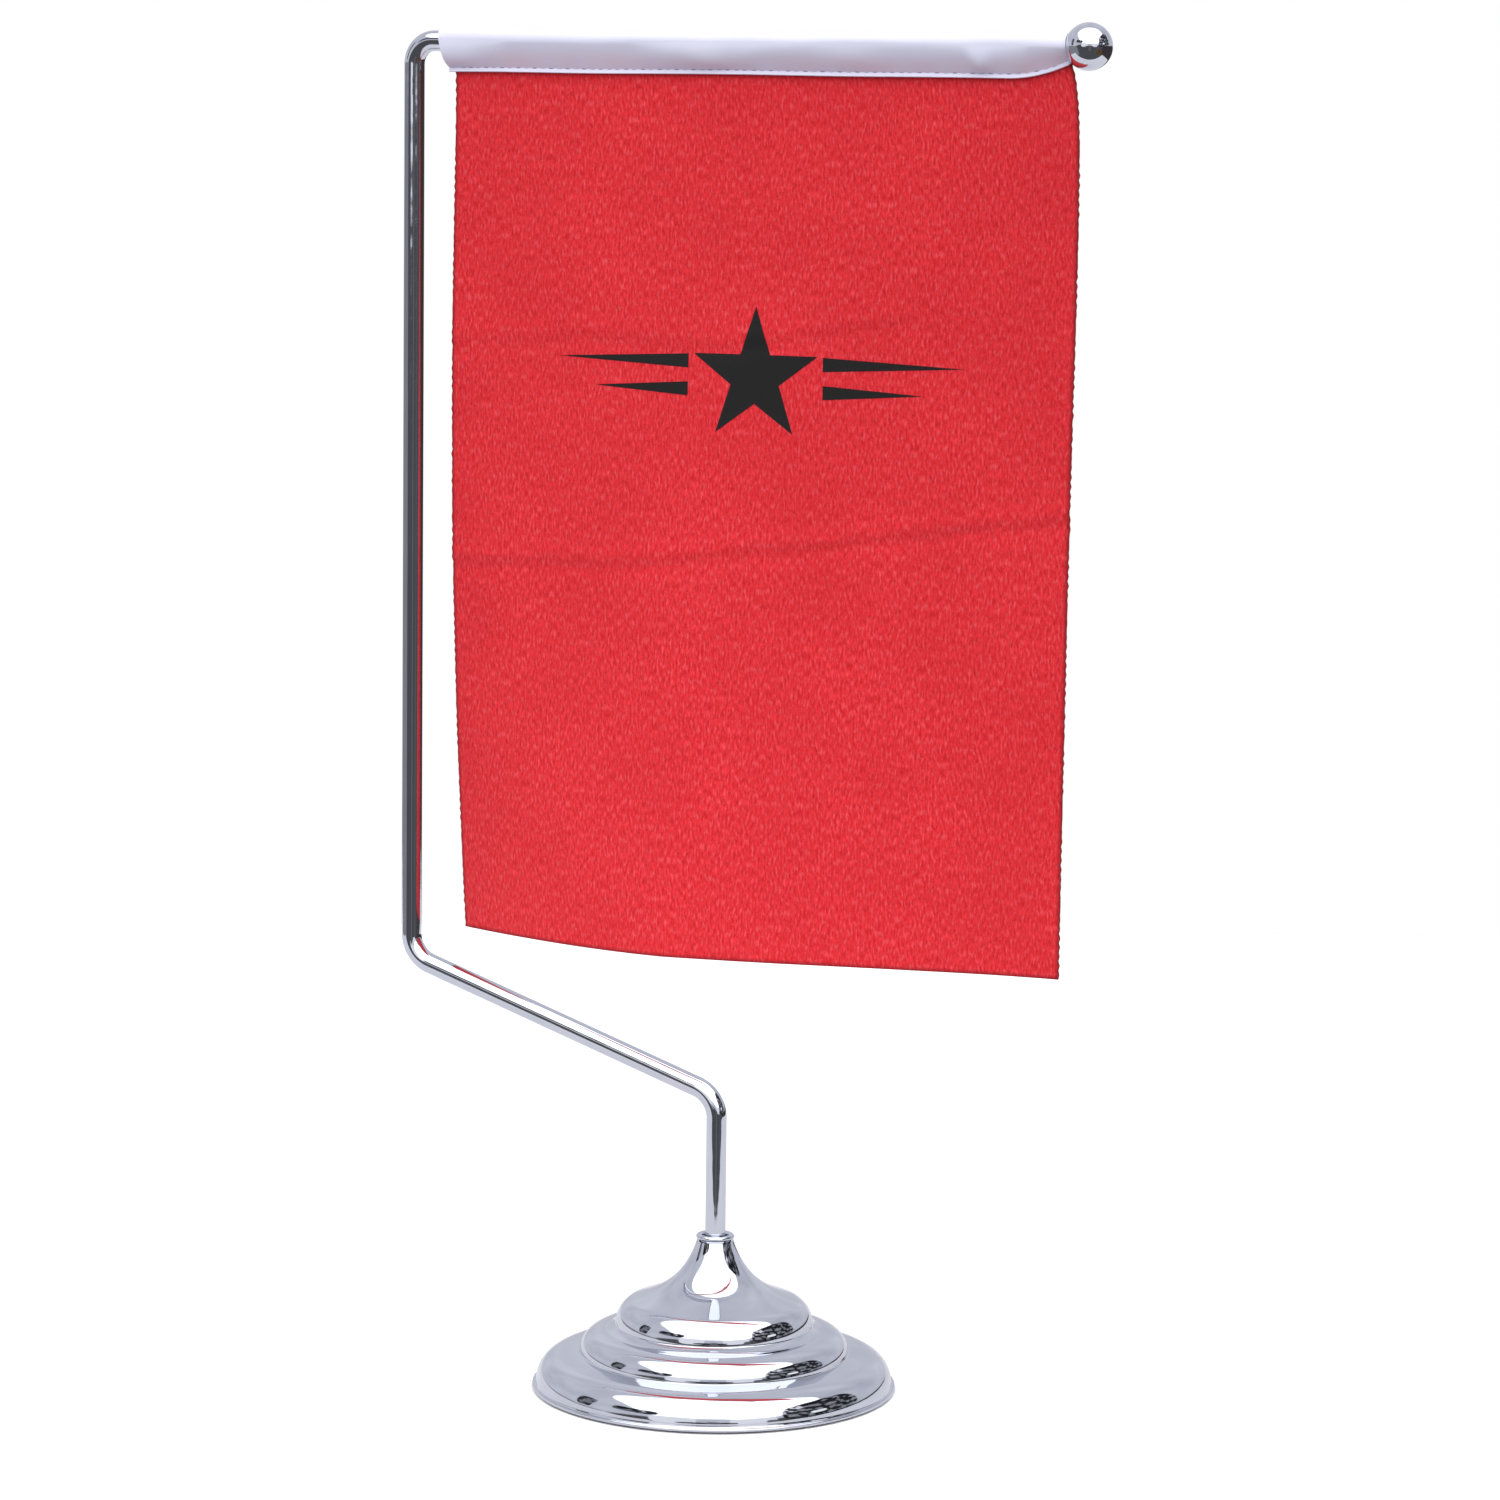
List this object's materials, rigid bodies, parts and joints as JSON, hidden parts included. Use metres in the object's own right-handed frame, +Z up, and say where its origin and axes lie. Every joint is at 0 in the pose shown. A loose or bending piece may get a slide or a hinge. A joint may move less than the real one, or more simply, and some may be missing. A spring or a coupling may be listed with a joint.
{
  "type": "desk flag stand",
  "caption": "Desk flag stand: a stepped round chromed base, a lift-out bent pole with a ball finial, and a small red flag sleeved on the pole's top rod.",
  "frame": {"origin": "centre of the foot pad's underside, on the axis of the base and its socket", "axes": "+Z up along the base's axis, +X along the top rod towards the ball, and the flag's printed side faces -Y"},
  "size_m": [0.1644, 0.08, 0.2986],
  "materials": {
    "chrome_plate": "mirror",
    "cast_iron": "rough",
    "zinc_plate": "satin",
    "brass": "satin",
    "nylon": "matte",
    "black_felt": "felt",
    "red_cloth": "napped",
    "white_satin": "satin weave",
    "white_thread": "twisted"
  },
  "bodies": {
    "base": {"base_shell": "chrome_plate", "base_weight": "cast_iron", "socket_tube": "chrome_plate", "clamp_washer": "zinc_plate", "lock_washer": "zinc_plate", "clamp_nut": "zinc_plate", "bottom_plate": "zinc_plate", "foot_pad": "black_felt"},
    "bush": {"pole_bush": "nylon"},
    "pole": {"pole": "chrome_plate", "pole_foot_plug": "nylon", "rod_insert": "brass"},
    "finial": {"finial_ball": "chrome_plate", "finial_stud": "zinc_plate"},
    "flag": {"sleeve": "white_satin", "flag_panel": "red_cloth", "seam_thread_front": "white_thread", "seam_thread_back": "white_thread"}
  },
  "joints": [
    {"name": "pole_swivel", "type": "hinge", "parent": "base", "child": "bush", "pos_m": [0, 0, 0.0331], "axis": [0, 0, 1], "continuous": true},
    {"name": "pole_lift", "type": "slide", "parent": "bush", "child": "pole", "axis": [0, 0, 1], "range_m": [0, 0.028]},
    {"name": "finial_unscrew", "type": "slide", "parent": "pole", "child": "finial", "axis": [1, 0, 0], "range_m": [0, 0.009]},
    {"name": "flag_swing", "type": "hinge", "parent": "pole", "child": "flag", "pos_m": [0, 0, 0.2936], "axis": [1, 0, 0], "range_deg": [-90, 90]}
  ]
}
